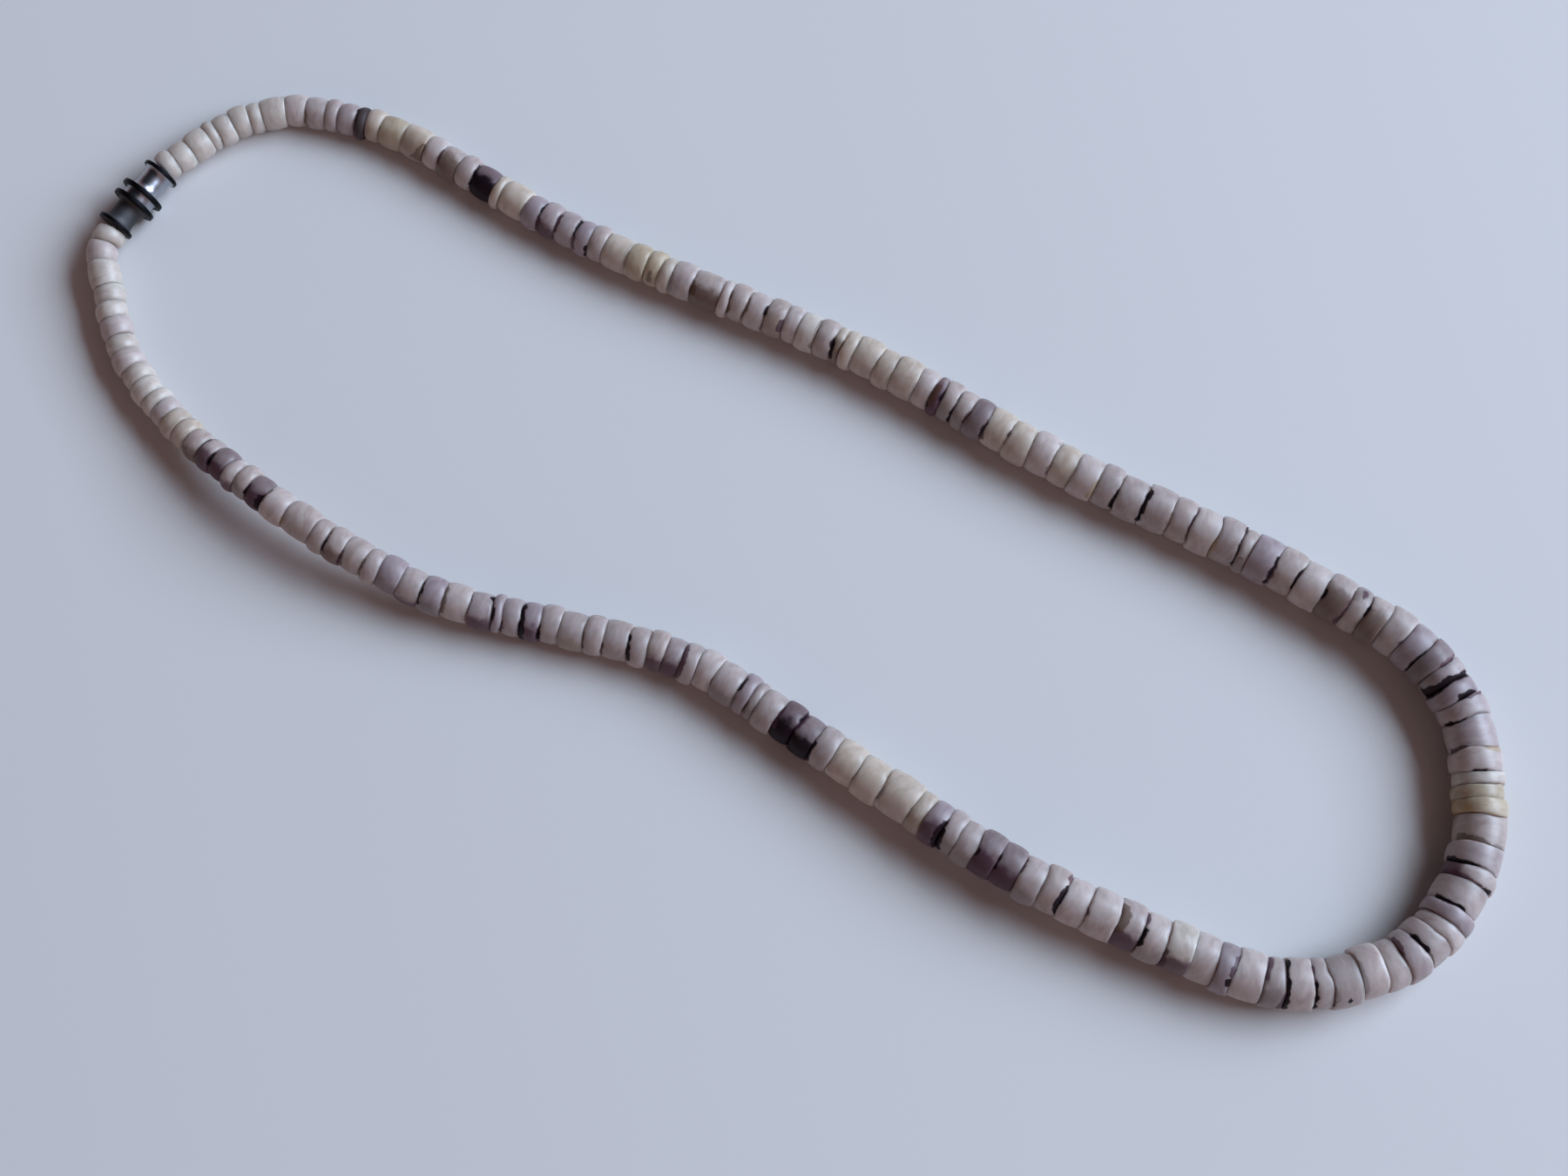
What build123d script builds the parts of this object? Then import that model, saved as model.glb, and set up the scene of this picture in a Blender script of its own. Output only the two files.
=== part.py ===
"""Graduated necklace of drilled shell discs with a barrel clasp, lying in one loop on a flat surface.

The loop's length runs along Y, with the clasp at +Y and the largest discs at -Y.
The surface is Z = 0, and the origin is on it, under the middle of the loop.
All sizes are millimetres.
"""

import os
from math import cos, radians, sin, tan

from build123d import *

os.makedirs("parts", exist_ok=True)

# Discs
END_DIAMETER = 4.1  # beside the clasp
FRONT_DIAMETER = 6.9  # halfway round the loop
GRADUATION = 1.2  # power of the growth from the clasp to the front
DIAMETER_SCATTER = 0.05  # how much smaller than its neighbours a disc can be, as a share
OFF_CENTRE = 0.15  # how far from the disc's middle the drill may land
OUTLINE_TURN = 2.4  # radians from one disc to the next in the uneven sizes and drilling
RIM_RADIUS = 0.3  # rounding of both outer rims
RIM_SHARE = 0.3  # the most of a thin disc's thickness that one rim's rounding takes
DISC_CLEARANCE = 0.12  # between the nearest edges of two discs
THICKNESS_STEP = 0.391  # what one letter of the chart adds: a is one step, b is two

# The thickness of each disc, read from the clasp's screw half round to its socket half
THICKNESS_CHART = (
    "dfgceedgff" "dfcehhfgfh" "ciffgeeife" "dgjcfgfeff"
    "cdhfhfceef" "hhhghgiigh" "hdhhihffgf" "eeeehfdddh"
    "fdhddeeegh" "dgehehhhhi" "hggggfefek" "iiggggcdhf"
    "eeefhfhfff" "cghgggegfe" "jhfedfefee" "edfefefefh" "ed"
)

# Thread
THREAD_DIAMETER = 0.5
DRILL_CLEARANCE = 0.3  # round the thread, inside a disc
CORD_BORE_CLEARANCE = 0.15  # round the thread, inside the clasp

# Barrel clasp
CLASP_END_DIAMETER = 5.0
CLASP_END_THICKNESS = 0.5
CLASP_BARREL_LENGTH = 3.2
CLASP_WAIST_DIAMETER = 3.5
CLASP_FOOT_DIAMETER = 4.2  # where the barrel meets a flange
CLASP_FLANGE_DIAMETER = 6.0
CLASP_FLANGE_THICKNESS = 0.6
CLASP_FLANGE_ROUNDING = 0.2
CLASP_NECK_DIAMETER = 4.3
CLASP_NECK_LENGTH = 1.05
CLASP_FACE_GAP = 0.1  # between the neck and the socket half
STUD_DIAMETER = 1.8
STUD_CLEARANCE = 0.1
CORD_BORE_DEPTH = 1.0
CLASP_WALL = 0.5  # left between the socket and the cord bore

# The clasp lies on the surface at the far end of the loop
CLASP_CENTRE = (2.8, 96.0)
CLASP_HEADING = -9.0  # degrees from X to the way out of the screw half's mouth
SCREW_LEAD = 1.0  # along the clasp's axis, from the screw half's mouth to the thread's first corner
SOCKET_LEAD = 3.2  # the same, at the socket half

# Corners of the thread's route, from the screw half's side round to the socket half's:
# X, Y and how far the discs are lifted off the surface there. The thread turns inside
# each corner in an arc.
ROUTE = [
    (18.2, 90.9, 0.3),
    (24.3, 84.4, 0.0),
    (27.6, 70.9, 0.0),
    (25.3, 47.0, 0.0),
    (25.2, 32.0, 0.3),
    (27.3, -0.5, 0.2),
    (24.8, -31.0, 0.0),
    (25.6, -56.0, 0.0),
    (23.5, -80.2, 0.5),
    (17.4, -90.2, 0.1),
    (2.8, -97.5, 0.0),
    (-11.9, -95.8, 0.0),
    (-23.5, -83.5, 0.0),
    (-25.1, -64.0, 0.4),
    (-25.6, -46.5, 1.2),
    (-22.5, -22.0, 0.3),
    (-19.3, 0.2, 0.0),
    (-22.8, 15.8, 0.0),
    (-27.4, 33.5, 0.6),
    (-27.2, 48.5, 2.4),
    (-25.3, 62.0, 2.6),
    (-22.4, 74.9, 0.6),
    (-17.2, 86.6, 0.1),
]
ARC_SHARE = 0.45  # of the shorter run beside a corner that its arc takes up
PLACE_REFINEMENTS = 3  # times that a disc's place on a bend is worked out


def nominal_diameter(share: float) -> float:
    """The graduated diameter at a share of the way round the loop, 0 and 1 at the clasp."""
    towards_front = 1 - abs(2 * share - 1)
    return END_DIAMETER + (FRONT_DIAMETER - END_DIAMETER) * towards_front**GRADUATION


# The clasp's length, its axis and the height it rests at
half_length = CLASP_END_THICKNESS + CLASP_BARREL_LENGTH + CLASP_FLANGE_THICKNESS
clasp_length = 2 * half_length + CLASP_NECK_LENGTH + CLASP_FACE_GAP
clasp_height = max(CLASP_FLANGE_DIAMETER, END_DIAMETER) / 2
clasp_centre = Vector(*CLASP_CENTRE, clasp_height)
clasp_axis = Vector(1, 0, 0).rotate(Axis.Z, CLASP_HEADING)
screw_mouth = clasp_centre + clasp_axis * (clasp_length / 2)
socket_mouth = clasp_centre - clasp_axis * (clasp_length / 2)

# The thread's corners in space: a disc at a corner lies on the surface or is lifted off it
first_corner = screw_mouth + clasp_axis * SCREW_LEAD
last_corner = socket_mouth - clasp_axis * SOCKET_LEAD
plan = [screw_mouth, first_corner] + [Vector(x, y, clasp_height) for x, y, lift in ROUTE]
plan += [last_corner, socket_mouth]
way = [0.0]
for before, after in zip(plan, plan[1:]):
    way.append(way[-1] + (after - before).length)
corners = [first_corner]
for (x, y, lift), distance in zip(ROUTE, way[2:]):
    corners.append(Vector(x, y, lift + nominal_diameter(distance / way[-1]) / 2))
corners.append(last_corner)

# Each arc is as large as the runs beside its corner allow. Beside the clasp the whole
# straight lead bends, and elsewhere a share of the shorter run.
runs = [after - before for before, after in zip(corners, corners[1:])]
headings = [clasp_axis] + runs + [clasp_axis]
room = [ARC_SHARE * run.length for run in runs]
room_before = [SCREW_LEAD] + room
room_after = room + [SOCKET_LEAD]
arc_radii = []
for number in range(len(corners)):
    half_turn = radians(headings[number].get_angle(headings[number + 1])) / 2
    arc_radii.append(min(room_before[number], room_after[number]) / tan(half_turn))
print("arc radii:", [round(radius, 1) for radius in arc_radii])

# The line the discs are strung on, from end to end of the thread inside the clasp's bores
thread_inset = CORD_BORE_DEPTH - CORD_BORE_CLEARANCE
thread_start = screw_mouth - clasp_axis * thread_inset
thread_end = socket_mouth + clasp_axis * thread_inset
with BuildLine() as thread_line:
    FilletPolyline(thread_start, *corners, thread_end, radius=arc_radii)
thread_path = thread_line.wire()
thread_length = thread_path.length
print("loop length:", round(thread_length - 2 * thread_inset + clasp_length, 1))


def heading_at(distance: float) -> Vector:
    """The thread's direction at a distance along it."""
    return thread_path.tangent_at(distance, position_mode=PositionMode.LENGTH)


def chart_thickness(number: int) -> float:
    """The thickness of a disc, counted from the screw half. The chart starts again at its end."""
    letter = THICKNESS_CHART[number % len(THICKNESS_CHART)]
    return (ord(letter) - ord("a") + 1) * THICKNESS_STEP


def edge_room(distance: float, turn: float) -> float:
    """What a turn in degrees between two faces takes up, so that their inner edges stay apart."""
    radius = nominal_diameter(distance / thread_length) / 2 + OFF_CENTRE
    return radius * radians(turn)


def string_discs(clearance: float) -> tuple[list[float], float]:
    """Distances along the thread of the disc middles that fit, and the length left over.

    A disc's turn from the one before depends on where it lands, so each place is refined.
    """
    middles = []
    spare = 0.0
    face = thread_inset
    heading = clasp_axis
    while True:
        half = chart_thickness(len(middles)) / 2
        middle = face + clearance + half
        for _ in range(PLACE_REFINEMENTS):
            turn = heading.get_angle(heading_at(min(middle, thread_length)))
            middle = face + clearance + edge_room(face, turn) + half
        if middle + half > thread_length - thread_inset:
            return middles, spare
        heading = heading_at(middle)
        face = middle + half
        last_turn = heading.get_angle(clasp_axis)
        needed = clearance + edge_room(face, last_turn)
        if thread_length - thread_inset - face < needed:
            return middles, spare
        spare = thread_length - thread_inset - face - needed
        middles.append(middle)


# Stringing once finds how many discs fit. Stringing again shares out what is left over.
middles, spare = string_discs(DISC_CLEARANCE)
disc_count = len(middles)
middles, spare = string_discs(DISC_CLEARANCE + spare / (disc_count + 1))
print("discs:", disc_count, len(middles), "left over:", round(spare, 2))


def make_disc(number: int, distance: float) -> Part:
    """One drilled disc. Its drill hole is on the thread, and its outline is off to one side."""
    along = heading_at(distance)
    middle = thread_path.position_at(distance, position_mode=PositionMode.LENGTH)
    across = Plane(middle, x_dir=Vector(0, 0, 1).cross(along), z_dir=along)
    nominal = nominal_diameter(distance / thread_length)
    diameter = nominal * (1 - DIAMETER_SCATTER * (1 + sin(OUTLINE_TURN * number)) / 2)
    thickness = chart_thickness(number)
    outline = (OFF_CENTRE * cos(OUTLINE_TURN * number), (diameter - nominal) / 2)
    with BuildPart() as disc:
        with BuildSketch(across):
            with Locations(outline):
                Circle(diameter / 2)
            Circle(THREAD_DIAMETER / 2 + DRILL_CLEARANCE, mode=Mode.SUBTRACT)
        extrude(amount=thickness / 2, both=True)
        rims = disc.edges().filter_by(GeomType.CIRCLE).group_by(SortBy.RADIUS)[-1]
        fillet(rims, radius=min(RIM_RADIUS, RIM_SHARE * thickness))
    return disc.part


discs = [make_disc(number, distance) for number, distance in enumerate(middles)]
with BuildPart() as shell_discs:
    add(discs)

# The thread is straight inside the clasp's bores and bends from their mouths on
with BuildPart() as thread:
    with BuildSketch(Plane(thread_start, z_dir=clasp_axis)):
        Circle(THREAD_DIAMETER / 2)
    sweep(path=thread_path)

# Distances from the clasp's middle along its axis, the same on both halves
flange_face = (CLASP_NECK_LENGTH + CLASP_FACE_GAP) / 2
barrel_start = flange_face + CLASP_FLANGE_THICKNESS
barrel_end = barrel_start + CLASP_BARREL_LENGTH
mouth = barrel_end + CLASP_END_THICKNESS
cord_bore_radius = THREAD_DIAMETER / 2 + CORD_BORE_CLEARANCE
cord_bore_end = mouth - CORD_BORE_DEPTH
socket_end = cord_bore_end - CLASP_WALL
clasp_turning_axis = Axis(clasp_centre, clasp_axis)


def make_half(outwards: Vector) -> Part:
    """One half from its inner flange to its mouth, bored for the thread."""
    section = Plane(clasp_centre, x_dir=outwards, z_dir=outwards.cross(Vector(0, 0, 1)))
    with BuildPart() as half:
        with BuildSketch(section):
            with BuildLine():
                Polyline(
                    (barrel_start, CLASP_FOOT_DIAMETER / 2),
                    (barrel_start, CLASP_FLANGE_DIAMETER / 2),
                    (flange_face, CLASP_FLANGE_DIAMETER / 2),
                    (flange_face, 0),
                    (cord_bore_end, 0),
                    (cord_bore_end, cord_bore_radius),
                    (mouth, cord_bore_radius),
                    (mouth, CLASP_END_DIAMETER / 2),
                    (barrel_end, CLASP_END_DIAMETER / 2),
                    (barrel_end, CLASP_FOOT_DIAMETER / 2),
                )
                ThreePointArc(
                    (barrel_end, CLASP_FOOT_DIAMETER / 2),
                    ((barrel_start + barrel_end) / 2, CLASP_WAIST_DIAMETER / 2),
                    (barrel_start, CLASP_FOOT_DIAMETER / 2),
                )
            make_face()
        revolve(axis=clasp_turning_axis)
        rims = half.edges().filter_by(GeomType.CIRCLE)
        rims = rims.filter_by(lambda rim: rim.radius > CLASP_FOOT_DIAMETER / 2 + CLASP_FLANGE_ROUNDING)
        fillet(rims, radius=CLASP_FLANGE_ROUNDING)
    return half.part


neck_end = Plane(clasp_centre + clasp_axis * (flange_face - CLASP_NECK_LENGTH), z_dir=clasp_axis)
with BuildPart() as clasp_screw_half:
    add(make_half(clasp_axis))
    with BuildSketch(neck_end):
        Circle(CLASP_NECK_DIAMETER / 2)
    extrude(amount=CLASP_NECK_LENGTH)
    with BuildSketch(neck_end):
        Circle(STUD_DIAMETER / 2)
    extrude(amount=-(socket_end - STUD_CLEARANCE + flange_face - CLASP_NECK_LENGTH))

with BuildPart() as clasp_socket_half:
    add(make_half(-clasp_axis))
    with BuildSketch(Plane(clasp_centre - clasp_axis * flange_face, z_dir=-clasp_axis)):
        Circle(STUD_DIAMETER / 2 + STUD_CLEARANCE)
    extrude(amount=socket_end - flange_face, mode=Mode.SUBTRACT)

# The origin goes under the middle of the whole necklace, on the surface
whole = Compound([shell_discs.part, thread.part, clasp_screw_half.part, clasp_socket_half.part])
box = whole.bounding_box()
under_middle = Vector(box.center().X, box.center().Y, box.min.Z)
settle = Location(-under_middle)
print("moved to the origin by", -under_middle)
for name, piece in (
    ("shell_discs", shell_discs),
    ("thread", thread),
    ("clasp_screw_half", clasp_screw_half),
    ("clasp_socket_half", clasp_socket_half),
):
    settled = piece.part.moved(settle)
    settled.label = name
    export_step(settled, f"parts/{name}.step")
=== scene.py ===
# %% [markdown]
# # A graduated necklace of ground shell discs
#
# The real thing is a string of small drilled discs that were sawn from sea shell, threaded, and then
# ground round together as one long rod. They grow from about 4 mm beside the clasp to 7 mm at the front.
# The CAD model gives every disc, the thread and the two halves of the clasp in their places.
# This lesson gives them their looks: worn and chipped edges, the shell's pigment, tarnished metal and light.
# The necklace's sizes are in mm until they are handed to Blender. The room's are in metres.

import math

import bpy
import numpy as np
from mathutils import Matrix, Vector


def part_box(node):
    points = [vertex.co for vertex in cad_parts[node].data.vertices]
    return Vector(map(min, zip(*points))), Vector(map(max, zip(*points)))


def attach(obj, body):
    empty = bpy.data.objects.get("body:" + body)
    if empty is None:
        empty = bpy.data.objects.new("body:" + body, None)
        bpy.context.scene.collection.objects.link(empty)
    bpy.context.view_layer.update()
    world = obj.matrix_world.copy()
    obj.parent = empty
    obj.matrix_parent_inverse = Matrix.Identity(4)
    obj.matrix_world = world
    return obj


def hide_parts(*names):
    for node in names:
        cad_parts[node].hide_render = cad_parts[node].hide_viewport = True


MM = 0.001

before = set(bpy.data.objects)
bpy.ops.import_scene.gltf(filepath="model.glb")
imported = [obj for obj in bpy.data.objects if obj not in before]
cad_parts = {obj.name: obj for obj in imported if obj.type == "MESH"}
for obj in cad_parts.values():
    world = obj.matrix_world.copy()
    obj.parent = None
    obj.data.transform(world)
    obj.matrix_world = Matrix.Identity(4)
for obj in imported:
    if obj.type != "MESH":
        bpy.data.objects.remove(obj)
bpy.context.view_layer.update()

# %% [markdown]
# ## The camera
#
# The picture was taken by hand from above, a little off vertical, with a normal lens.
# The camera comes first because a bead's marks are charted by how far from the middle of the strand
# they show in the picture, so each bead has to know which side of it was seen.

# %% Place the camera
CAMERA_PLACE = np.array((-72.30, -38.48, 281.70))
CAMERA_HEADING = math.radians(63.0)
CAMERA_DOWN = math.radians(75.0)
LENS = 52.0
SENSOR_WIDTH = 36.0
NEAREST, FARTHEST = 1.0, 10000.0


def camera_turn(heading, down):
    """The camera's rotation: forward points along the compass heading (from +Y towards +X) and down from
    level, right is forward crossed with up, and the picture's up is right crossed with forward."""
    level = math.cos(down)
    forward = Vector((math.sin(heading) * level, math.cos(heading) * level, -math.sin(down)))
    right = forward.cross(Vector((0, 0, 1))).normalized()
    up = right.cross(forward)
    return Matrix((right, up, -forward)).transposed()


camera = bpy.data.objects.new("camera", bpy.data.cameras.new("camera"))
bpy.context.scene.collection.objects.link(camera)
camera.data.lens = LENS
camera.data.sensor_width = SENSOR_WIDTH
camera.data.clip_start = NEAREST * MM
camera.data.clip_end = FARTHEST * MM
turn = camera_turn(CAMERA_HEADING, CAMERA_DOWN)
camera.matrix_world = Matrix.LocRotScale(Vector(CAMERA_PLACE * MM), turn, None)
bpy.context.scene.camera = camera
print("camera", np.round(CAMERA_PLACE, 1), "mm, lens", LENS)

# %% [markdown]
# ## Where each disc is
#
# The discs are one node of 162 loose solids. Their places could be typed in again, but reading them from
# the node keeps every bead where the CAD has it, once its solids have been told apart.


# %% Read the solids of a node
def node_mesh(node):
    """A node's vertices in mm and its triangles, with vertices at the same place counted once."""
    mesh = node.data
    points = np.empty(len(mesh.vertices) * 3)
    mesh.vertices.foreach_get("co", points)
    corners = np.empty(len(mesh.loops), int)
    mesh.loops.foreach_get("vertex_index", corners)
    points, index = np.unique(points.reshape(-1, 3), axis=0, return_inverse=True)
    return points / MM, index.ravel()[corners].reshape(-1, 3)


def solid_labels(count, triangles):
    """One number for each vertex, the same all over one solid: each triangle passes its lowest label to its
    corners, and each label then jumps to its own label, until no label changes."""
    label = np.arange(count)
    while True:
        lowest = label[triangles].min(axis=1)
        passed = label.copy()
        np.minimum.at(passed, triangles.ravel(), np.repeat(lowest, 3))
        passed = passed[passed]
        if (passed == label).all():
            return np.unique(label, return_inverse=True)[1].ravel()
        label = passed


disc_points, disc_triangles = node_mesh(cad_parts["shell_discs"])
disc_of_point = solid_labels(len(disc_points), disc_triangles)
DISCS = disc_of_point.max() + 1
print("discs found:", DISCS)


# %% Measure each disc
def total(weights, groups, count):
    """The sum of the rows of weights in each group."""
    return np.stack([np.bincount(groups, column, count) for column in weights.T], axis=1)


def unit(vectors):
    """The vectors, each divided by its length."""
    return vectors / np.linalg.norm(vectors, axis=-1, keepdims=True)


def facing_of(points, triangles, owner, count):
    """Each solid's middle, the mean of its surface, and the three directions of its surface: the
    eigenvectors of the sum of area times normal times normal. For a disc one of them is its axis."""
    a, b, c = (points[triangles[:, i]] for i in range(3))
    cross = np.cross(b - a, c - a)
    area = np.linalg.norm(cross, axis=1, keepdims=True) / 2
    solid = owner[triangles[:, 0]]
    middle = total(area * (a + b + c) / 3, solid, count) / total(area, solid, count)
    facing = total((cross[:, :, None] * cross[:, None, :]).reshape(-1, 9) / (4 * area), solid, count)
    return middle, np.swapaxes(np.linalg.eigh(facing.reshape(-1, 3, 3))[1], 1, 2)


def stringing_order(middle, start):
    """The discs from one end of the string to the other: the next is the nearest that isn't strung yet."""
    apart = np.linalg.norm(middle[:, None] - middle[None], axis=2)
    order = [start]
    for _ in range(len(middle) - 1):
        apart[:, order[-1]] = np.inf
        order.append(int(apart[order[-1]].argmin()))
    return np.array(order)


def reach_of(points, owner, middle, axis):
    """Each disc's centre, thickness and radius, from how far its points reach along its axis and out."""
    offset = points - middle[owner]
    along = (offset * axis[owner]).sum(1)
    out = np.linalg.norm(offset - along[:, None] * axis[owner], axis=1)
    low = np.full(len(middle), np.inf)
    high = -low
    radius = np.zeros(len(middle))
    np.minimum.at(low, owner, along)
    np.maximum.at(high, owner, along)
    np.maximum.at(radius, owner, out)
    return middle + axis * ((low + high) / 2)[:, None], high - low, radius


middle, directions = facing_of(disc_points, disc_triangles, disc_of_point, DISCS)
screw_middle = np.array(sum(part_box("clasp_screw_half"), Vector())) / 2 / MM
order = stringing_order(middle, int(np.linalg.norm(middle - screw_middle, axis=1).argmin()))
middle, directions = middle[order], directions[order]
disc_of_point = np.argsort(order)[disc_of_point]

string_way = unit(np.gradient(middle, axis=0))
agreement = (directions * string_way[:, None, :]).sum(2)
best = np.abs(agreement).argmax(axis=1)
numbers = np.arange(DISCS)
axis = directions[numbers, best] * np.sign(agreement[numbers, best])[:, None]
centre, thickness, radius = reach_of(disc_points, disc_of_point, middle, axis)
print("thickness", thickness.min().round(2), "to", thickness.max().round(2), "mm")
print("diameter", 2 * radius.min().round(2), "to", 2 * radius.max().round(2), "mm")

# %% Which way each disc was seen
to_camera = unit(CAMERA_PLACE - centre)
seen = unit(to_camera - (to_camera * axis).sum(1)[:, None] * axis)
outward = np.cross(seen, axis)
print("each disc's directions: along the string, to the camera, to the loop's outside")

# %% [markdown]
# ## The discs' form
#
# A shell disc is ground on its rim and sawn or snapped on its faces, so the rim is smooth and a little
# barrelled while the edges are chipped, and the gaps between discs wander. The small discs near the clasp
# are tumbled almost into rounds. One bead could be modelled and copied, but then all would chip alike.
# Here all 162 beads are one array with three directions: bead, angle around, and place on the profile.
# A pair of sizes is the value beside the clasp and the one at the front, or the least and the most of a
# random draw. Turns are how many ripples go round a disc, from the fewest to the most.

# %% Name the sizes of a disc's wear
AROUND = 48
FACE_POINTS = 2
ROUNDING_POINTS = 5
RIM_SHARES = np.array((0.2, 0.4, 0.6, 0.8))
SEED = 7

SMALL_RADIUS, LARGE_RADIUS = 2.05, 3.35
BORE_RADIUS = 0.5
BARREL = (0.24, 0.12)
FLATS, FLAT_TURNS = 0.014, (2, 4)
RIPPLE_STRENGTH = (0.3, 1.0)
OFF_CENTRE = (0.04, 0.09)

FACE_GAP = 0.01
CLOSED_SHARE = (0.9, 1.0)
END_GROWTH = 0.035
BOUNDARY_WAVE, BOUNDARY_TURNS = (0.04, 0.17), (1, 4)

EDGE_RADIAL = (0.11, 0.13)
EDGE_AXIAL = (0.50, 0.32)
EDGE_WEAR = (0.25, 1.6)
EDGE_WAVE, EDGE_TURNS = 0.03, (3, 9)
ROUNDED_SHARE, CUT_SHARE = 0.42, 0.46
CHIPS = 4
CHIP_HALF_WIDTH = (0.12, 0.60)
CHIP_DEPTH = (0.05, 0.55)
CHIP_SIZE = (0.2, 1.0)
CHIP_GROWTH = (0.35, 1.0)
CHIP_INWARD = 0.7

rng = np.random.default_rng(SEED)
front = np.clip((radius - SMALL_RADIUS) / (LARGE_RADIUS - SMALL_RADIUS), 0, 1)
print("front discs:", int((front > 0.5).sum()), "of", DISCS, "are nearer the large size")


def graded(ends):
    """A size for each disc, from its value at the clasp to its value at the front."""
    return ends[0] + (ends[1] - ends[0]) * front


# %% Chip the edges
angle = np.arange(AROUND) * 2 * np.pi / AROUND


def turn_between(a, b):
    """The angle from b to a, from minus half a turn to half a turn."""
    return (a - b + np.pi) % (2 * np.pi) - np.pi


def chip_depths():
    """How far each edge is broken back, as an array of disc, end and angle. A chip is a rounded bite: its
    depth times the square of one minus the squared share of its half width, and the deepest bite counts."""
    shape = (DISCS, 2, CHIPS, 1)
    place = rng.uniform(0, 2 * np.pi, shape)
    half_width = rng.uniform(*CHIP_HALF_WIDTH, shape)
    depth = rng.uniform(*CHIP_DEPTH, shape) * rng.uniform(*CHIP_SIZE, shape)
    share = turn_between(angle, place) / half_width
    bite = depth * np.clip(1 - share**2, 0, 1) ** 2
    return bite.max(axis=2) * graded(CHIP_GROWTH)[:, None, None]


def waves(shape, fewest, most):
    """Slow ripples of about one unit round a circle: the sum of a cosine for each number of turns, with a
    random phase and a random strength that falls with the square root of the turns."""
    ripple = np.zeros((*shape, AROUND))
    for turns in range(fewest, most + 1):
        phase = rng.uniform(0, 2 * np.pi, (*shape, 1))
        strength = rng.uniform(*RIPPLE_STRENGTH, (*shape, 1)) / turns**0.5
        ripple += strength * np.cos(turns * angle + phase)
    return ripple


chips = chip_depths()
edge_wave = np.abs(EDGE_WAVE * waves((DISCS, 2), *EDGE_TURNS))
edge_wear = rng.uniform(*EDGE_WEAR, (DISCS, 2, 1))
flats = 1 - FLATS * np.abs(waves((DISCS,), *FLAT_TURNS))
print("deepest chip", chips.max().round(2), "mm")

# %% [markdown]
# ## Faces that meet
#
# The CAD discs have flat square faces with a small gap, and where the string bends the gap opens into a
# wedge. On the real string the shell is a little thicker on one side than the other, and the discs turned on
# the thread until they lay face to face. So each face here leans to meet the plane half way to its neighbour,
# and both neighbours' faces follow one shared wave, as two pieces that rubbed together do.

# %% Lean the faces towards their neighbours
cosine, sine = np.cos(angle)[None, :, None], np.sin(angle)[None, :, None]
round_way = cosine * seen[:, None, :] + sine * outward[:, None, :]


def boundary_planes():
    """A point and the normal of the plane half way between each two neighbours' faces, and of one just beyond
    each end of the string."""
    reach = axis * (thickness / 2)[:, None]
    starts, ends = centre - reach, centre + reach
    first, last = starts[:1] - END_GROWTH * axis[:1], ends[-1:] + END_GROWTH * axis[-1:]
    point = np.concatenate([first, (ends[:-1] + starts[1:]) / 2, last])
    normal = unit(np.concatenate([axis[:1], axis[:-1] + axis[1:], axis[-1:]]))
    return point, normal


def face_lean():
    """How far each face is from its plane along the disc's axis, as a value at the middle and a slope per
    mm of radius at each angle. A plane's distance from a point, along a line, is the offset times the
    normal, over the line's direction times the normal."""
    point, normal = boundary_planes()
    point, normal = (np.stack([v[:-1], v[1:]], axis=1) for v in (point, normal))
    side = np.array((-1.0, 1.0))
    face = centre[:, None] + side[:, None] * (axis * (thickness / 2)[:, None])[:, None]
    lean = (axis[:, None] * normal).sum(2)
    middle = side * ((point - face) * normal).sum(2) / lean
    slope = -side[:, None] * np.einsum("dax,dsx->dsa", round_way, normal) / lean[..., None]
    return middle[..., None], slope


def shared_waves():
    """The ripple of each face, the same for the two faces that meet, as an array of disc, end and angle.
    The string's first and last face have none."""
    ripple = np.pad(waves((DISCS - 1,), *BOUNDARY_TURNS), ((1, 1), (0, 0)))
    ripple *= np.pad(graded(BOUNDARY_WAVE), (0, 1))[:, None]
    return np.stack([-ripple[:-1], ripple[1:]], axis=1)


closed = np.pad(rng.uniform(*CLOSED_SHARE, DISCS - 1), (1, 1), constant_values=1.0)
closed_share = np.stack([closed[:-1], closed[1:]], axis=1)[..., None, None]
lean_middle, lean_slope = face_lean()
face_wave = shared_waves()


def face_height(r):
    """How far a face stands from its disc's middle at radius r: half the thickness, plus the closed share
    of the way to the plane, plus the wave, which grows with the square of the radius."""
    way = lean_middle[..., None] + lean_slope[..., None] * r
    wave = face_wave[..., None] * (r / radius[:, None, None, None]) ** 2
    return thickness[:, None, None, None] / 2 + closed_share * way - FACE_GAP / 2 + wave


print("widest wedge closed", (lean_slope.max() * radius.max()).round(2), "mm each side")


# %% [markdown]
# ## The shell's colours, bead by bead
#
# The shells were white with lilac, tan and dark growth bands, and each disc was cut from another place.
# A random mix would be a different necklace, so the string is charted like a beading pattern:
# one letter a bead for its ground colour, and two short tables, of marks and of shades.
# A mark lies along the start or end edge of its bead, or across its middle. Its reach is given by how far
# from the strand's middle line it starts and stops, from 1 at the loop's outside to -1 at its inside,
# with its width at both, so that a wedge is one row. A shade colours the whole bead between two reaches.
# Some shades are the shell's own dark patches; the rest are painted shade on the strand's side away from the
# light.


# %% Chart the ground colours
def linear(hex_colour):
    """An sRGB hex colour as linear red, green, blue and alpha 1: the sRGB curve undone for each channel."""
    channels = [int(hex_colour[i : i + 2], 16) / 255 for i in (1, 3, 5)]
    return (*[c / 12.92 if c <= 0.04045 else ((c + 0.055) / 1.055) ** 2.4 for c in channels], 1.0)


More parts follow.
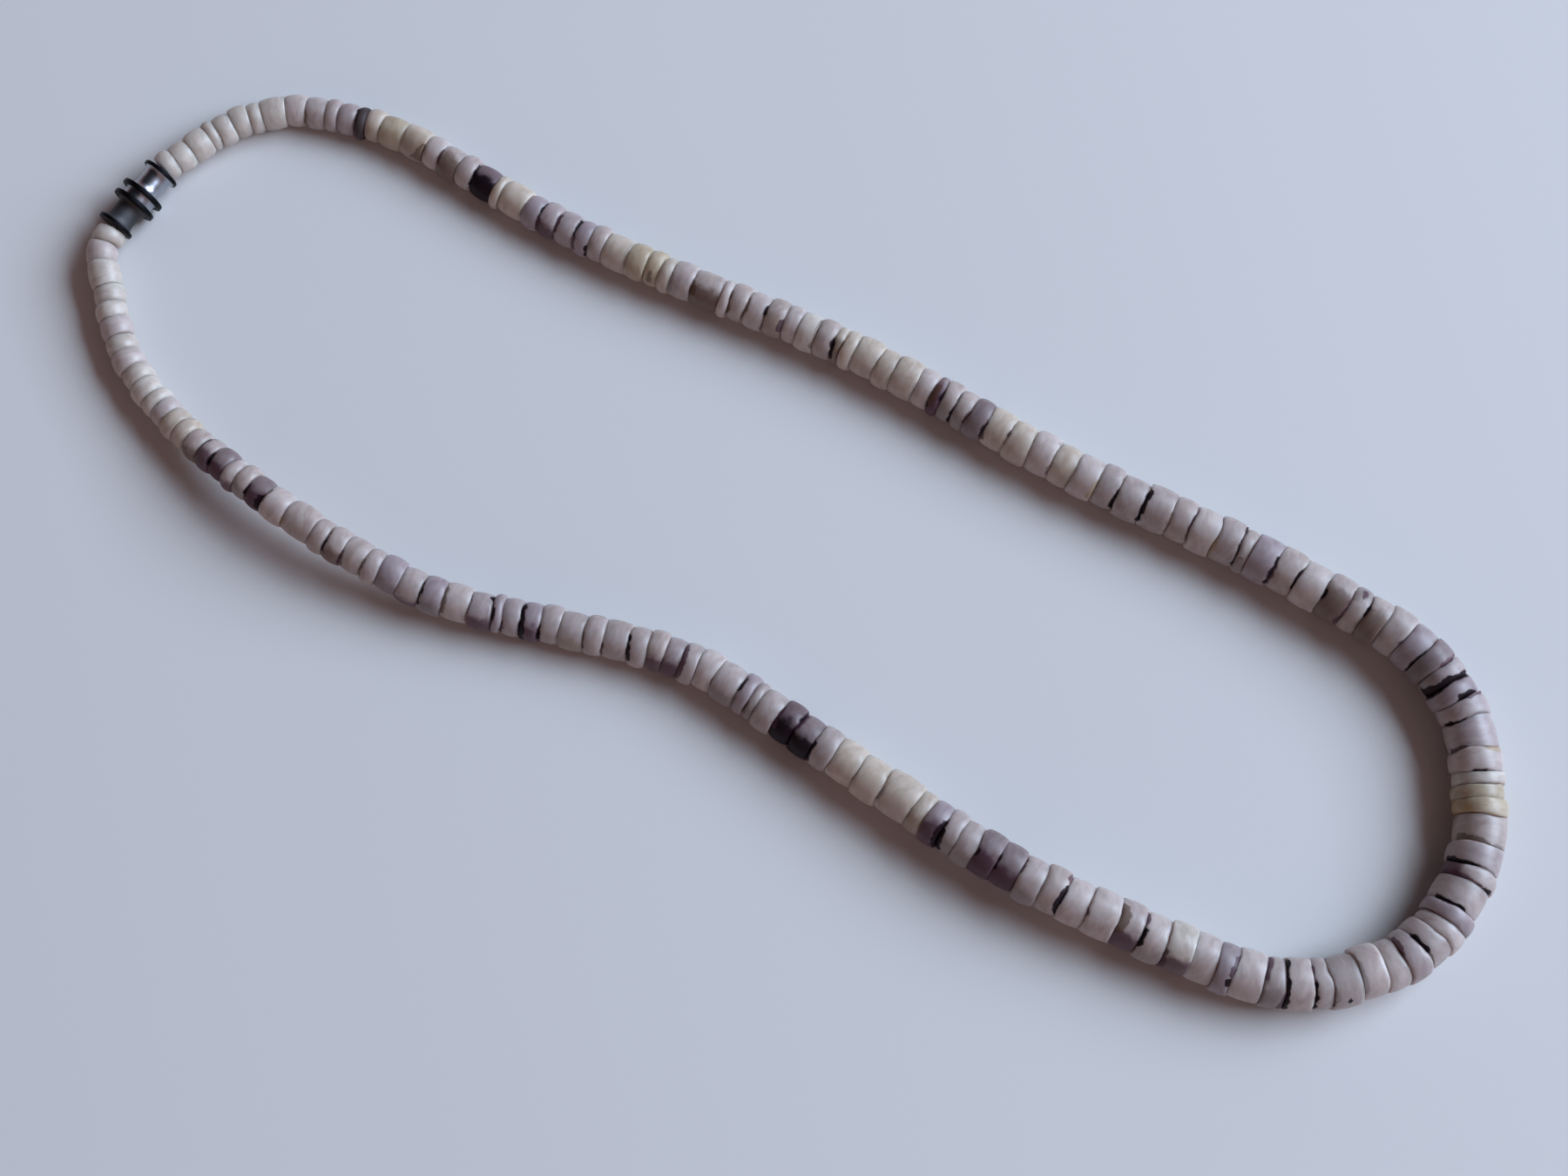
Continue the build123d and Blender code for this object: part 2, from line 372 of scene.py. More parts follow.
GROUNDS = {
    "i": "#BEB3A9",
    "w": "#B6A8A3",
    "c": "#B5A697",
    "y": "#AD9D86",
    "g": "#A59793",
    "l": "#A29493",
    "v": "#928487",
    "p": "#A69791",
    "m": "#7D6D6E",
    "k": "#44393A",
    "d": "#69575B",
}
GROUND_CHART = (
    "iiiiiiiiwg" "glkcycwpgd" "ccvllvpcyy" "cgpwpwpwip" "cccccwmppm"
    "ccwcwgggpw" "gpvpwgppgv" "mlvllwiyyp" "lggvwglwwg" "gwgwvwiwgw"
    "wpgmmggvcc" "ccgmdggvgw" "glpgggggvl" "vlwvgvgppp" "pwmpwmgpcc"
    "wiiiwiwiii" "wi"
)
print("chart has", len(GROUND_CHART), "letters for", DISCS, "discs")

# %% Chart the marks and shades
INKS = {"black": 0.0, "plum": 0.2, "brown": 0.4, "grey": 0.6, "tan": 0.8, "yellow": 1.0}
START, END, MIDDLE = 0, 1, 2
MARKS = [
    # disc, edge, from, width, to, width, ink
    (9, START, 0.2, 0.2, -0.9, 0.7, "brown"),
    (12, START, 0.9, 0.6, -0.4, 0.4, "black"),
    (15, END, 0.1, 0.5, -0.9, 1.6, "brown"),
    (17, START, 0.5, 0.4, -0.4, 0.5, "plum"),
    (19, START, 0.8, 0.4, -0.7, 0.5, "black"),
    (22, START, 0.2, 0.2, -0.7, 0.25, "grey"),
    (22, END, 0.95, 0.4, -0.2, 0.4, "black"),
    (23, START, -0.2, 0.5, -0.9, 0.8, "plum"),
    (24, START, 0.6, 0.55, -0.5, 0.6, "plum"),
    (24, END, 0.9, 0.35, -0.1, 0.4, "black"),
    (25, START, -0.1, 0.5, -0.8, 0.8, "plum"),
    (25, END, -0.4, 0.3, -0.95, 0.4, "black"),
    (28, START, 0.4, 0.3, -0.5, 0.4, "tan"),
    (29, MIDDLE, -0.25, 0.5, -0.8, 0.6, "brown"),
    (31, START, 0.1, 0.5, -0.8, 0.7, "grey"),
    (32, START, 0.3, 0.4, -0.5, 1.2, "brown"),
    (34, START, 0.5, 0.3, -0.8, 0.45, "brown"),
    (35, START, 0.6, 0.3, -0.8, 0.5, "brown"),
    (35, END, 0.95, 0.3, 0.6, 0.3, "grey"),
    (35, END, 0.5, 0.4, 0.0, 0.45, "black"),
    (35, END, -0.1, 0.35, -0.9, 0.45, "brown"),
    (36, END, 0.0, 0.5, -0.6, 0.8, "plum"),
    (38, END, 0.9, 0.35, -0.7, 0.4, "brown"),
    (39, END, 0.35, 0.3, -0.3, 0.45, "black"),
    (40, START, 0.0, 0.3, -0.8, 0.6, "black"),
    (41, END, 0.7, 0.15, -0.7, 0.2, "grey"),
    (43, END, -0.15, 0.45, -0.7, 0.5, "tan"),
    (44, START, 0.9, 0.3, 0.2, 0.2, "grey"),
    (44, END, 0.0, 0.3, -0.7, 0.35, "grey"),
    (46, START, 0.5, 0.9, -0.5, 0.8, "brown"),
    (46, START, 0.2, 0.3, -0.7, 0.5, "black"),
    (46, END, 0.4, 0.3, -0.2, 0.4, "black"),
    (47, END, 0.7, 0.15, -0.95, 0.45, "black"),
    (48, END, 0.1, 0.45, -0.5, 0.45, "plum"),
    (49, END, 0.8, 0.2, 0.2, 0.2, "grey"),
    (49, END, 0.15, 0.3, -0.7, 0.45, "black"),
    (50, START, 0.0, 0.3, -0.8, 0.6, "plum"),
    (50, END, 0.25, 0.4, -0.05, 0.4, "plum"),
    (52, END, 0.95, 0.4, 0.7, 0.4, "grey"),
    (52, END, 0.5, 0.2, -0.8, 0.35, "brown"),
    (54, END, 0.1, 0.4, -0.8, 0.9, "yellow"),
    (55, START, 0.3, 0.4, -0.6, 0.4, "tan"),
    (55, END, 0.7, 0.25, 0.2, 0.25, "brown"),
    (55, END, 0.1, 0.3, -0.9, 0.5, "black"),
    (56, END, 0.7, 0.3, -0.85, 0.45, "black"),
    (57, START, 0.7, 0.45, -0.8, 0.4, "black"),
    (57, END, 0.95, 0.35, 0.5, 0.25, "grey"),
    (57, END, 0.1, 0.25, -0.8, 0.45, "brown"),
    (58, END, 0.9, 0.35, -0.3, 0.4, "plum"),
    (58, END, -0.4, 0.4, -0.8, 0.4, "brown"),
    (60, START, 0.0, 0.5, -0.95, 0.8, "yellow"),
    (60, END, 0.95, 0.3, -0.85, 0.4, "black"),
    (61, MIDDLE, -0.4, 0.6, -0.9, 0.9, "grey"),
    (62, END, 0.4, 0.35, -0.85, 0.5, "black"),
    (63, START, 0.2, 0.3, -0.85, 0.6, "plum"),
    (63, END, 0.95, 0.3, 0.5, 0.25, "grey"),
    (63, END, 0.4, 0.3, -0.6, 0.35, "black"),
    (65, START, 0.15, 0.5, -0.25, 0.45, "black"),
    (65, END, 0.7, 0.2, -0.9, 0.4, "plum"),
    (66, START, 0.3, 0.2, -0.9, 0.4, "brown"),
    (66, MIDDLE, 0.85, 0.45, 0.62, 0.5, "plum"),
    (66, END, 0.9, 0.2, 0.0, 0.4, "black"),
    (68, END, 0.1, 0.25, -0.3, 0.35, "plum"),
    (69, END, 0.3, 0.2, -0.9, 0.4, "black"),
    (70, END, 0.95, 0.45, 0.3, 0.45, "plum"),
    (71, END, 0.95, 0.45, -0.95, 1.6, "black"),
    (72, START, 0.98, 0.7, 0.5, 0.3, "black"),
    (72, END, 0.9, 0.6, 0.2, 0.7, "black"),
    (73, START, 0.95, 0.6, 0.5, 0.5, "plum"),
    (73, END, 0.9, 0.2, 0.1, 0.25, "grey"),
    (73, END, 0.0, 0.3, -0.85, 0.5, "black"),
    (74, END, -0.3, 0.45, -0.9, 0.7, "plum"),
    (75, START, 0.95, 0.8, 0.5, 0.5, "yellow"),
    (75, END, 0.8, 0.2, 0.5, 0.3, "grey"),
    (75, END, 0.35, 0.4, -0.1, 0.4, "black"),
    (76, END, 0.8, 0.3, -0.8, 0.25, "grey"),
    (79, END, 0.9, 0.4, 0.6, 0.4, "grey"),
    (79, END, 0.4, 0.5, -0.8, 1.0, "brown"),
    (80, END, 0.9, 0.3, 0.4, 0.3, "grey"),
    (80, END, 0.3, 0.35, -0.9, 0.7, "black"),
    (81, END, 0.95, 0.4, 0.7, 0.4, "black"),
    (81, END, 0.5, 0.3, -0.9, 0.6, "plum"),
    (82, END, 0.45, 0.45, -0.7, 0.5, "black"),
    (83, START, -0.15, 0.45, -0.35, 0.45, "black"),
    (85, END, 0.9, 0.4, 0.5, 0.35, "brown"),
    (85, END, 0.4, 0.5, -0.5, 0.5, "black"),
    (86, END, -0.1, 0.4, -0.8, 0.6, "plum"),
    (88, END, 0.8, 0.7, -0.4, 0.5, "grey"),
    (89, END, 0.95, 0.3, 0.85, 0.3, "black"),
    (89, MIDDLE, 0.82, 0.35, 0.74, 0.35, "black"),
    (89, END, 0.7, 0.9, 0.3, 0.6, "grey"),
    (90, END, 0.95, 0.6, 0.0, 0.5, "black"),
    (90, END, -0.1, 0.4, -0.7, 0.4, "plum"),
    (91, END, 0.95, 0.55, -0.2, 0.5, "black"),
    (91, END, -0.3, 0.45, -0.95, 0.4, "black"),
    (92, START, 0.95, 0.9, 0.3, 0.5, "plum"),
    (92, END, 0.9, 0.5, 0.0, 0.5, "grey"),
    (92, END, -0.1, 0.6, -0.95, 0.8, "plum"),
    (94, START, 0.6, 0.5, 0.35, 0.8, "black"),
    (94, START, 0.15, 0.7, -0.2, 0.6, "plum"),
    (94, START, -0.35, 0.4, -0.65, 0.5, "plum"),
    (96, END, 0.98, 0.6, 0.3, 0.5, "plum"),
    (97, END, 0.45, 0.7, -0.3, 0.7, "black"),
    (97, END, -0.4, 0.4, -0.9, 0.5, "plum"),
    (98, END, 0.4, 1.3, -0.7, 1.2, "brown"),
    (99, END, 0.25, 0.4, 0.1, 0.4, "plum"),
    (101, START, 0.9, 0.5, 0.4, 0.8, "black"),
    (101, START, 0.4, 0.8, -0.4, 0.6, "black"),
    (101, START, -0.65, 0.5, -0.95, 0.6, "plum"),
    (102, END, -0.1, 0.25, -0.8, 0.3, "plum"),
    (103, END, 0.4, 0.35, -0.3, 0.35, "black"),
    (104, END, 0.3, 0.4, 0.0, 0.4, "black"),
    (106, END, 0.95, 1.0, 0.1, 0.6, "black"),
    (106, END, 0.0, 0.45, -0.4, 0.3, "black"),
    (107, START, 0.9, 0.7, -0.3, 0.45, "black"),
    (109, END, 0.6, 0.5, 0.1, 0.5, "grey"),
    (110, END, 0.7, 0.4, 0.2, 0.35, "tan"),
    (112, END, 0.95, 0.6, 0.0, 0.4, "black"),
    (113, END, -0.1, 0.4, -0.9, 0.5, "plum"),
    (114, START, 0.95, 0.9, 0.2, 0.6, "black"),
    (114, START, -0.35, 0.5, -0.95, 0.55, "black"),
    (114, END, 0.6, 0.6, -0.5, 0.45, "plum"),
    (116, END, 0.8, 0.5, 0.3, 0.4, "brown"),
    (117, END, 0.9, 0.35, 0.1, 0.3, "grey"),
    (117, END, 0.0, 0.45, -0.65, 0.5, "black"),
    (119, START, 0.5, 0.3, 0.3, 0.3, "black"),
    (120, END, 0.9, 0.6, 0.0, 0.9, "plum"),
    (120, END, 0.0, 0.9, -0.8, 0.6, "plum"),
    (123, END, 0.8, 0.7, -0.5, 0.4, "black"),
    (124, END, 0.85, 0.45, 0.4, 0.4, "plum"),
    (125, END, 0.8, 0.3, 0.0, 0.3, "plum"),
    (127, END, 0.9, 0.5, 0.2, 0.45, "black"),
    (128, END, 0.95, 1.0, -0.9, 0.45, "black"),
    (129, END, 0.95, 0.5, 0.4, 0.4, "plum"),
    (130, END, 0.95, 0.35, 0.5, 0.35, "plum"),
    (130, END, 0.4, 0.45, -0.5, 0.4, "black"),
    (131, START, -0.75, 0.7, -0.9, 0.7, "black"),
    (131, END, 0.3, 0.25, -0.8, 0.25, "plum"),
    (132, END, 0.8, 0.55, -0.7, 0.5, "brown"),
    (133, END, 0.7, 0.4, -0.6, 0.4, "black"),
    (136, END, 0.8, 0.5, -0.1, 0.4, "brown"),
    (137, END, 0.9, 0.6, 0.1, 0.45, "plum"),
    (138, END, 0.7, 0.55, -0.2, 0.55, "black"),
    (138, END, -0.3, 0.4, -0.85, 0.3, "brown"),
    (140, END, 0.98, 0.6, 0.4, 0.5, "yellow"),
    (141, END, 0.3, 0.4, -0.6, 0.4, "brown"),
    (142, START, 0.9, 0.7, 0.1, 0.9, "black"),
    (142, END, 0.7, 0.5, 0.0, 0.4, "black"),
    (145, END, 0.6, 0.6, -0.3, 0.5, "black"),
    (146, END, 0.6, 0.35, -0.9, 0.5, "black"),
    (147, END, 0.4, 0.45, -0.1, 0.4, "grey"),
    (149, END, 0.9, 0.8, 0.2, 0.5, "yellow"),
    (150, END, 0.15, 0.45, -0.25, 0.45, "grey"),
    (155, END, 0.1, 0.25, -0.7, 0.25, "grey"),
]
# Shades: some are the shell's own dark patches, the others painted shade on the side of the strand away from
# the light.
DARK_PATCHES_AND_PAINTED_SHADE = [
    # disc, from, to, ink
    (13, -0.2, -1.0, "tan"),
    (15, 0.7, -1.0, "tan"),
    (17, 0.5, -1.0, "brown"),
    (19, 0.4, -1.0, "black"),
    (23, -0.4, -1.0, "plum"),
    (32, 0.1, -1.0, "brown"),
    (36, 0.1, -1.0, "tan"),
    (40, 0.3, -1.0, "brown"),
    (46, 0.6, -1.0, "plum"),
    (47, -0.3, -1.0, "grey"),
    (48, -0.2, -1.0, "grey"),
    (65, 0.5, -1.0, "brown"),
    (66, 1.0, 0.5, "grey"),
    (67, 0.5, -1.0, "brown"),
    (70, 0.2, -1.0, "grey"),
    (71, -0.1, -1.0, "grey"),
    (78, -0.3, -1.0, "yellow"),
    (81, -0.3, -1.0, "plum"),
    (92, 1.0, 0.2, "grey"),
    (96, 1.0, 0.4, "plum"),
    (97, 1.0, 0.5, "grey"),
    (98, 1.0, 0.3, "plum"),
    (102, 1.0, 0.45, "grey"),
    (103, 1.0, 0.15, "plum"),
    (104, 1.0, 0.0, "plum"),
    (105, 1.0, 0.5, "grey"),
    (106, 1.0, 0.4, "grey"),
    (107, 1.0, 0.0, "plum"),
    (108, 1.0, 0.3, "tan"),
    (113, 1.0, 0.1, "black"),
    (114, 1.0, -0.1, "black"),
    (116, 1.0, 0.4, "grey"),
    (118, 1.0, 0.5, "grey"),
    (121, 1.0, 0.2, "plum"),
    (122, 1.0, 0.35, "plum"),
    (126, 1.0, 0.4, "tan"),
    (128, 1.0, 0.2, "plum"),
    (131, 1.0, 0.4, "plum"),
    (133, 1.0, 0.4, "grey"),
    (134, 1.0, 0.75, "plum"),
    (135, 1.0, 0.5, "grey"),
    (138, 1.0, 0.35, "brown"),
    (142, 1.0, 0.0, "plum"),
    (143, 1.0, 0.5, "grey"),
    (144, 1.0, 0.6, "plum"),
    (145, 1.0, 0.15, "plum"),
    (146, 1.0, -0.1, "plum"),
    (147, 1.0, 0.5, "brown"),
]
print(len(MARKS), "marks and", len(DARK_PATCHES_AND_PAINTED_SHADE), "shades charted")


# %% Turn the chart into fields on the beads
MARK_TAPER = 0.14
SHADE_TAPER = 0.8
OVERLAP, OVERLAP_LIMIT = 0.45, 0.22
UNSEEN_TURN = 2.6
BREAK_DEPTH = 0.6
TONE_SPREAD = (0.94, 1.04)


def reach_angle(reach):
    """The angle whose sine is a charted reach. A reach of one goes on round the side that isn't seen."""
    return np.arcsin(reach) if abs(reach) < 1 else UNSEEN_TURN * reach


def mark_fields():
    """Width and ink of the mark at each disc, slot and angle. Between a mark's two ends its width goes evenly
    from one value to the other, and it fades out over a small taper beyond each end. A mark on an edge also
    covers a part of the facing edge next to it, and the widest mark counts where two meet."""
    width, ink = np.zeros((2, DISCS, 3, AROUND))
    own = turn_between(angle, 0)
    for disc, slot, start, start_width, stop, stop_width, name in MARKS:
        high, low = reach_angle(start), reach_angle(stop)
        share = np.clip((high - own) / (high - low), 0, 1)
        fade = np.clip(1 - np.maximum(own - high, low - own) / MARK_TAPER, 0, 1)
        made = (start_width + (stop_width - start_width) * share) * fade
        marked = [(disc, slot, made)]
        if slot != MIDDLE:
            next_disc, facing_slot = (disc - 1, END) if slot == START else (disc + 1, START)
            marked.append((next_disc, facing_slot, np.minimum(OVERLAP * made, OVERLAP_LIMIT)))
        for bead, side, wide in marked:
            ink[bead, side] = np.where(wide > width[bead, side], INKS[name], ink[bead, side])
            width[bead, side] = np.maximum(width[bead, side], wide)
    return width, ink


def patch_and_painted_shade_fields():
    """Cover and ink of the shade at each disc and angle: partly the shell's own dark patch, partly painted
    shade. The cover is a half at each charted reach, and goes from none to one over the taper."""
    cover, ink = np.zeros((2, DISCS, AROUND))
    own = turn_between(angle, 0)
    for disc, start, stop, name in DARK_PATCHES_AND_PAINTED_SHADE:
        inside = np.minimum(reach_angle(start) - own, own - reach_angle(stop))
        cover[disc] = np.clip(0.5 + inside / SHADE_TAPER, 0, 1)
        ink[disc] = INKS[name]
    return cover, ink


mark_width, mark_ink = mark_fields()
shade_cover, shade_ink = patch_and_painted_shade_fields()
tone = np.array([linear(GROUNDS[letter]) for letter in GROUND_CHART])
tone[:, :3] *= rng.uniform(*TONE_SPREAD, (DISCS, 1))
broken = BREAK_DEPTH * mark_width[:, :2] * (mark_ink[:, :2] < INKS["plum"])
chips = np.maximum(chips, broken)
print("marked discs:", int((mark_width.max(axis=(1, 2)) > 0).sum()))
print("deepest break", broken.max().round(2), "mm")

# %% [markdown]
# ## The surfaces
#
# The profile runs from the bore over the start face and its edge, along the rim, and back over the end face.
# Where the chart has a black mark on an edge the shell is broken there, so the mark's width also cuts the
# edge back. Ground as one rod and then rubbed for years, each disc is a little fuller in the middle of its
# rim, and because its hole is wider than the thread it hangs a little off the string's line.


# %% Work out every disc's surface
def edge_cuts():
    """How far each edge is cut back along the disc and inwards: its rounding times its own wear, plus its
    chips, and along the disc a slow wave too. The cuts of a disc's two edges leave a band of its rim."""
    rounding = np.minimum(graded(EDGE_AXIAL), ROUNDED_SHARE * thickness)[:, None, None]
    axial = rounding * edge_wear + chips + edge_wave
    axial = np.minimum(axial, CUT_SHARE * thickness[:, None, None])
    radial = graded(EDGE_RADIAL)[:, None, None] * edge_wear + CHIP_INWARD * chips
    return axial[..., None], radial[..., None]


def disc_surface():
    """Radius and axial place on a grid of disc, angle and profile, and each face's place at the rim. An edge
    is a quarter of an ellipse, from the face at angle zero to the rim at a right angle. The barrel shape is
    added last, as a third less the squared share of the way from the bead's middle to its face."""
    rim = (radius[:, None] * flats)[:, None, :, None]
    edge_axial, edge_radial = edge_cuts()
    sweep = np.linspace(0, np.pi / 2, ROUNDING_POINTS)
    edge_r = rim - edge_radial * (1 - np.sin(sweep))
    bore = np.full(edge_radial.shape, BORE_RADIUS)
    middle = (bore + edge_r[..., :1]) / 2
    r = np.concatenate([bore, middle, edge_r], axis=-1)
    level = np.zeros((*bore.shape[:-1], FACE_POINTS))
    drop = edge_axial * (1 - np.cos(sweep))
    z = face_height(r) - np.concatenate([level, drop], axis=-1)
    start_z, end_z = -z[:, 0], z[:, 1]
    rim_z = start_z[..., -1:] + (end_z[..., -1:] - start_z[..., -1:]) * RIM_SHARES
    rim_r = np.broadcast_to(rim[:, 0], rim_z.shape)
    across = np.concatenate([r[:, 0], rim_r, r[:, 1, :, ::-1]], axis=-1)
    along = np.concatenate([start_z, rim_z, end_z[..., ::-1]], axis=-1)
    first, last = start_z[..., FACE_POINTS, None], end_z[..., FACE_POINTS, None]
    outside = slice(FACE_POINTS, -FACE_POINTS)
    share = (2 * along[..., outside] - first - last) / (last - first)
    across[..., outside] += graded(BARREL)[:, None, None] * (1 / 3 - share**2)
    return across, along, face_height(radius[:, None, None, None])[..., 0]


across, along, edge_place = disc_surface()
PROFILE = across.shape[2]
print("grid:", across.shape, "so", 2 * AROUND * PROFILE, "triangles a disc")

# %% Place the surfaces on the string
off_centre = np.random.default_rng(SEED + 1).uniform(-1, 1, DISCS) * graded(OFF_CENTRE)
hung = centre + off_centre[:, None] * outward
surface = (
    hung[:, None, None, :]
    + along[..., None] * axis[:, None, None, :]
    + across[..., None] * round_way[:, :, None, :]
)
print("surface points:", surface.shape[:3], "lowest", surface[..., 2].min().round(3), "mm")

# %% [markdown]
# ## From arrays to meshes
#
# A closed grid becomes a mesh by joining each point to its neighbours in both directions, and because both
# directions close, there is no seam and no open edge. The same function later makes the clasp.
# What the shader needs to know of each bead is stored on its vertices.
#
# A Mix node has like-named sockets for each type of value, so they go by number here: 0 is the share,
# 2 and 3 are the two plain values, and 6 and 7 the two colours. Its results are 0 and 2.


# %% Make a mesh from closed grids
def grid_faces(count, rows, columns):
    """The quads of count separate grids that close both ways, as rows of four vertex numbers, facing outwards
    where rows turn from the first direction to the second and columns run along the third."""
    number = np.arange(count * rows * columns).reshape(count, rows, columns)
    right = np.roll(number, -1, axis=2)
    down = np.roll(number, -1, axis=1)
    both = np.roll(right, -1, axis=1)
    return np.stack([number, down, both, right], axis=-1).reshape(-1, 4)


def new_piece(name, points, faces, material):
    """A finished piece in metres, smooth shaded, riding on the necklace's one body."""
    mesh = bpy.data.meshes.new(name)
    mesh.from_pydata((points.reshape(-1, 3) * MM).tolist(), [], faces.tolist())
    mesh.polygons.foreach_set("use_smooth", np.ones(len(mesh.polygons), bool))
    mesh.materials.append(material)
    mesh.validate()
    piece = bpy.data.objects.new(name, mesh)
    bpy.context.scene.collection.objects.link(piece)
    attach(piece, "root")
    return piece


def store(piece, name, values):
    """Stores a vector for each vertex, or a colour if it has four numbers, for a material to read."""
    kind, field = ("FLOAT_COLOR", "color") if values.shape[-1] == 4 else ("FLOAT_VECTOR", "vector")
    stored = piece.data.attributes.new(name, kind, "POINT")
    stored.data.foreach_set(field, values.astype(np.float32).ravel())


def fill(tree, node, values=None, links=None):
    """Sets the values of a node's sockets and the links into them."""
    for socket, value in (values or {}).items():
        node.inputs[socket].default_value = value
    for socket, source in (links or {}).items():
        tree.links.new(source, node.inputs[socket])


def add(tree, kind, values=None, links=None, **settings):
    """Adds a shader node, with its own settings, the values of its sockets and the links into them."""
    node = tree.nodes.new("ShaderNode" + kind)
    for name, value in settings.items():
        setattr(node, name, value)
    fill(tree, node, values, links)
    return node


SMOOTH = {"interpolation_type": "SMOOTHSTEP"}


def span(source, result=(0, 1)):
    """The four values of a map range node that carries one pair to another."""
    return dict(zip(("From Min", "From Max", "To Min", "To Max"), (*source, *result)))


def set_stops(ramp, colours, covers):
    """Gives a colour ramp evenly spaced stops with these colours and covers."""
    stops = ramp.color_ramp.elements
    for number in range(1, len(colours) - 1):
        stops.new(number / (len(colours) - 1))
    for stop, colour, cover in zip(stops, colours, covers):
        stop.color = (*linear(colour)[:3], cover)


def new_material(name):
    """An empty material and its node tree, with the shader and the output joined."""
    material = bpy.data.materials.new(name)
    material.use_nodes = True
    tree = material.node_tree
    tree.nodes.clear()
    shader = add(tree, "BsdfPrincipled")
    add(tree, "OutputMaterial", links={"Surface": shader.outputs["BSDF"]})
    return material, tree, shader


print("helpers for meshes and materials ready")

# %% [markdown]
# ## Ground shell
#
# Shell is layers of aragonite, about 1.6 in refractive index, a little translucent, and ground with fine
# grit rather than polished, so it is satin: a soft wide highlight and light that bleeds through thin edges.
# The layers show as faint bands along the string. The marks are cut from the distances stored on the
# vertices, not painted on them, so that a line of a quarter of a millimetre stays sharp on a coarse mesh.
# One noise frays the marks' sides and the shades' borders. The grinding didn't reach into the dark pits,
# so the darker the shell is, the less it shines.

# %% Build the shell material
SHELL_IOR = 1.57
SHELL_ROUGHNESS = (0.36, 0.54)
GLOSS_FROM, GLOSS = (0.03, 0.20), (0.10, 0.50)
BLEED_DEPTH, BLEED_COLOUR = 2.6, (1.0, 0.80, 0.74)
BAND_SIZE, BAND_WARP, BAND_SPAN = 0.9, 0.6, (0.36, 0.68)
MILKY_BAND = {"Saturation": 0.85, "Value": 1.05}
DARK_BAND = {"Saturation": 1.1, "Value": 0.82}
MOTTLE_SIZE = 1.6
GRIT_SIZE, GRIT_DEPTH, GRIT_STRENGTH = 0.22, 0.012, 0.5
NOISE_SPAN = (0.32, 0.68)
FRAY_SIZE, FRAY, FRAY_LIMIT = 1.2, 0.45, 0.4
RAGGED = 0.18
MARK_EDGE = 0.24
INK_COLOURS = ("#180C14", "#4C2F3C", "#563D2C", "#6D6563", "#83705A", "#93783F")
INK_COVER = (0.98, 0.84, 0.72, 0.55, 0.45, 0.50)

shell, tree, shader = new_material("ground_shell")
stored = {}
for name in ("tone", "grain", "shell_place", "place", "mark_width", "mark_ink", "shade"):
    stored[name] = add(tree, "Attribute", attribute_name=name).outputs
split = {}
for name in ("place", "mark_width", "mark_ink", "shade"):
    split[name] = add(tree, "SeparateXYZ", links={0: stored[name]["Vector"]}).outputs

values = {"Scale": 1 / BAND_SIZE, "Detail": 3.0, "Roughness": 0.55, "Distortion": BAND_WARP}
bands = add(tree, "TexNoise", values, {"Vector": stored["grain"]["Vector"]}).outputs["Fac"]
share = add(tree, "MapRange", span(BAND_SPAN), {"Value": bands}).outputs[0]
milky = add(tree, "HueSaturation", MILKY_BAND, {"Color": stored["tone"]["Color"]}).outputs[0]
dark = add(tree, "HueSaturation", DARK_BAND, {"Color": stored["tone"]["Color"]}).outputs[0]
colour = add(tree, "Mix", links={0: share, 6: milky, 7: dark}, data_type="RGBA").outputs[2]


def ink_over(colour, cover, ink):
    """The colour under one layer of ink. A ramp turns the ink's number into its colour and its own cover,
    and the share that is mixed in is the layer's cover times the ink's own."""
    inks = add(tree, "ValToRGB", links={"Fac": ink})
    set_stops(inks, INK_COLOURS, INK_COVER)
    share = add(tree, "Math", links={0: cover, 1: inks.outputs["Alpha"]}, operation="MULTIPLY").outputs[0]
    links = {0: share, 6: colour, 7: inks.outputs["Color"]}
    return add(tree, "Mix", links=links, data_type="RGBA").outputs[2]


values = {"Scale": 1 / FRAY_SIZE, "Detail": 1.5}
fray = add(tree, "TexNoise", values, {"Vector": stored["shell_place"]["Vector"]}).outputs["Fac"]
frayed = add(tree, "MapRange", span(NOISE_SPAN, (-FRAY, FRAY)), {"Value": fray}).outputs[0]
ragged = add(tree, "MapRange", span(NOISE_SPAN, (-RAGGED, RAGGED)), {"Value": fray}).outputs[0]
# The shade layer goes on first: partly the shell's own dark patches, partly painted shade on the strand's
# shaded side.
loose = add(tree, "Math", links={0: split["shade"][0], 1: ragged}, operation="ADD").outputs[0]
cover = add(tree, "MapRange", span((RAGGED, 1 - RAGGED)), {"Value": loose}, **SMOOTH).outputs[0]
colour = ink_over(colour, cover, split["shade"][1])
for slot in (START, END, MIDDLE):
    width = split["mark_width"][slot]
    narrow = add(tree, "Math", {1: FRAY_LIMIT}, {0: width}, operation="MINIMUM").outputs[0]
    reach = add(tree, "Math", links={0: narrow, 1: frayed, 2: width}, operation="MULTIPLY_ADD").outputs[0]
    away = add(tree, "Math", links={0: split["place"][slot]}, operation="ABSOLUTE").outputs[0]
    inside = add(tree, "Math", links={0: reach, 1: away}, operation="SUBTRACT").outputs[0]
    cover = add(tree, "MapRange", span((0, MARK_EDGE)), {"Value": inside}, **SMOOTH).outputs[0]
    colour = ink_over(colour, cover, split["mark_ink"][slot])

